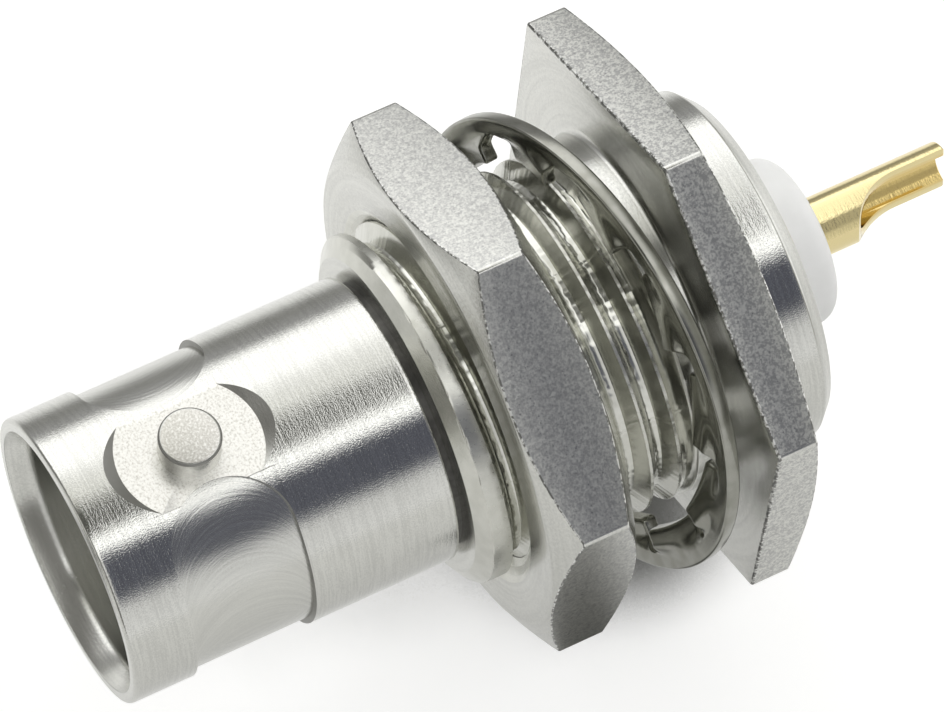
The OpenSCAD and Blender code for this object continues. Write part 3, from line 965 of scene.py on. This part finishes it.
thread_nickel = bright_nickel("bright_thread", level=0.66, roughness=0.15, warmth=0.03)
# Painted shade: the washer's plating is given a far lower level than the thread's, for the dark it shows.
shaded_washer_nickel = bright_nickel("shaded_bright_washer", level=0.36, roughness=0.16, warmth=0.015)
nickel_finishes = [turned_nickel(), milled_nickel(), grained_nickel(), smooth_nickel(),
                   thread_nickel, satin_nickel(), shaded_nickel(), chipped_nickel()]
settle(build_body(), "jack", "connector_body", nickel_finishes, sharp=30.0)
settle(build_nut(), "nut", "hex_nut", nickel_finishes, sharp=40.0)
settle(build_washer(), "washer", "lock_washer", [shaded_washer_nickel], sharp=50.0)
settle(build_insulator(), "jack", "insulator", [white_insulator()], sharp=40.0)
settle(build_contact(), "jack", "centre_contact", [plated_gold()], sharp=40.0)


# Stage: pale floor, studio surroundings and camera. Places on the floor are in millimetres.

FLOOR_Z, FLOOR_R = -9.77, 120.0
FOOT_X, FOOT_Y, SHADOW_REACH = 1.6, -0.7, 8.0
# PAPER_SHADE is the paper's painted shadow colour, and MIRRORED_DROP is painted darkening of the paper as the
# metal sees it on one side.
PAPER, PAPER_SHADE = colour(0.62, 0.62, 0.61), colour(0.2, 0.2, 0.19)
SEEN_GLOW, MIRRORED_GLOW, MIRRORED_DROP = 0.62, 0.55, 0.2
CAMERA_AT = Vector((82.7514, -62.0426, 213.1443))
CAMERA_RIGHT = Vector((0.45919878, 0.88663985, 0.05482943))
CAMERA_UP = Vector((-0.81463518, 0.39568497, 0.42403175))
SENSOR_W, LENS = 36.0, 284.092


def pale_floor():
    """Paper that is pale outside a painted shadow of the part, and that the metal mirrors with a few darker
    places, painted shade in the reflections.
    """
    finish, wire = start_finish("pale_floor")
    to_camera = wire.node("ShaderNodeLightPath", None, None, "Is Camera Ray")
    mirrored = to_camera.other("Is Glossy Ray").most(to_camera.other("Is Transmission Ray"))
    where = wire.node("ShaderNodeTexCoord", None, None, "Object")
    parts = wire.node("ShaderNodeSeparateXYZ", None, {"Vector": where})
    x, y = parts * TO_MM - FOOT_X, parts.other("Y") * TO_MM - FOOT_Y
    # Painted shadow: the camera sees the paper darker where ambient occlusion finds the part close, deeper
    # still around the hex corner that rests on the floor.
    clear = wire.node("ShaderNodeAmbientOcclusion", {"samples": 8}, {"Distance": SHADOW_REACH * MM}, "AO")
    painted_foot_shadow = 1.0 - wire.maths("SQRT", x * x + y * y).step(2.5, 6.0)
    outside_painted_shadow = clear.step(0.15, 0.52) * (1.0 - painted_foot_shadow * (1.0 - clear.step(0.4, 0.8)))
    # Painted shade in reflections: the metal sees the paper darker by the nut, in front of the mouth and far
    # off to one side.
    nut_reflection_shade = y.between(-5.8, -4.6, -3.0, 0.5) * x.near(9.5, 3.0, 5.0)
    front_reflection_shade = (1.0 - y.step(-30.0, -16.0)) * x.near(-5.1, 1.5, 2.8)
    far_reflection_shade = (1.0 - x.step(-45.0, -18.0)) * 0.8
    painted_reflection_shade = mirrored * nut_reflection_shade.most(front_reflection_shade).most(far_reflection_shade)
    shade = painted_reflection_shade.most((1.0 - outside_painted_shadow) * to_camera)
    paper = wire.node("ShaderNodeBsdfDiffuse", None, {"Color": shade.mixed(PAPER, PAPER_SHADE)})
    seen = to_camera * outside_painted_shadow * SEEN_GLOW
    # The paper the metal sees is also painted darker past the part's middle, towards +X.
    reflected = mirrored * (1.0 - shade) * (MIRRORED_GLOW - MIRRORED_DROP * x.step(-6.0, 6.0))
    glow = wire.node("ShaderNodeEmission", None, {"Color": seen.most(reflected), "Strength": 1.0})
    end_finish(wire, wire.node("ShaderNodeAddShader", None, {0: paper, 1: glow}))
    return finish


def build_floor():
    """A round sheet under the part."""
    mesh = bmesh.new()
    bmesh.ops.create_circle(mesh, cap_ends=True, radius=FLOOR_R * MM, segments=96)
    floor = new_piece("floor", mesh)
    floor.location.z = FLOOR_Z * MM
    floor.data.materials.append(pale_floor())


def build_surroundings():
    """Soft studio: panels and cards of light and shade along the part, each set by its angles about it."""
    world = bpy.data.worlds.new("studio")
    bpy.context.scene.world = world
    world.use_nodes = True
    world.node_tree.nodes.clear()
    wire = Wire(world.node_tree)
    towards = wire.node("ShaderNodeTexCoord", None, None, "Generated")
    parts = wire.node("ShaderNodeSeparateXYZ", None, {"Vector": towards})
    turn = wire.maths("ARCTAN2", parts, parts.other("Z")) * (0.5 / math.pi) + 0.5
    ahead = parts.other("Y")
    behind = 0.0 - ahead
    panels = [(-180, 0.3), (-140, 0.9), (-118, 0.5), (-96, 0.4), (-85, 0.42), (-75, 1.75), (-48, 1.75),
              (-37, 1.5), (-24, 1.4), (-15, 1.4), (8, 1.5), (14, 1.75), (22, 1.75), (30, 0.9), (60, 0.8),
              (74, 0.85), (95, 0.95), (125, 0.6), (155, 0.35), (180, 0.3)]
    stops = [(degrees / 360 + 0.5, colour(level, level, level)) for degrees, level in panels]
    studio = wire.node("ShaderNodeValToRGB", {"stops": stops, "blend_ramp": "EASE"}, {"Fac": turn})

    def card(*degrees):
        """Mask of a card by the angles at which it rises, is full, fades and ends."""
        return turn.between(*[0.5 + edge / 360 for edge in degrees])

    on_shell = 1.0 - ahead.step(0.235, 0.262)
    pale_card = card(-50.0, -22.0, 4.0, 12.0) * on_shell
    grey_card = card(-21.0, -7.0, 10.0, 15.0) * on_shell
    black_card = card(23.0, 29.0, 59.0, 73.0) * ahead.near(0.25, 0.15, 0.33)
    mouth_ring = behind.between(0.8, 0.87, 0.935, 0.955)
    for mask, shade in ((pale_card, colour(1.05, 1.05, 1.0)), (grey_card, colour(0.12, 0.12, 0.108)),
                        (black_card, colour(0.125, 0.13, 0.16)),
                        (behind.step(0.3, 0.62), colour(0.2, 0.195, 0.185)),
                        (mouth_ring, colour(1.1, 1.1, 1.07)),
                        (ahead.step(0.4, 0.64), colour(0.42, 0.42, 0.385)),
                        (ahead.step(0.72, 0.95), colour(1.6, 1.6, 1.6))):
        studio = mask.mixed(studio, shade)
    to_camera = wire.node("ShaderNodeLightPath", None, None, "Is Camera Ray")
    light = wire.node("ShaderNodeBackground", None, {"Color": studio, "Strength": 1.0})
    white = wire.node("ShaderNodeBackground", None, {"Color": colour(1, 1, 1), "Strength": 1.0})
    both = wire.node("ShaderNodeMixShader", None, {0: to_camera, 1: light, 2: white})
    wire.node("ShaderNodeOutputWorld", None, {"Surface": both})


def build_camera():
    """Camera at the photograph's angle, from the fit to the part's known edges."""
    lens = bpy.data.cameras.new("camera")
    lens.sensor_width, lens.lens, lens.clip_start = SENSOR_W, LENS, 0.01
    camera = bpy.data.objects.new("camera", lens)
    bpy.context.scene.collection.objects.link(camera)
    axes = Matrix((CAMERA_RIGHT, CAMERA_UP, CAMERA_RIGHT.cross(CAMERA_UP)))
    camera.matrix_world = Matrix.Translation(CAMERA_AT * MM) @ axes.transposed().to_4x4()
    bpy.context.scene.camera = camera


build_floor()
build_surroundings()
build_camera()
bpy.context.scene.view_settings.view_transform = "Standard"
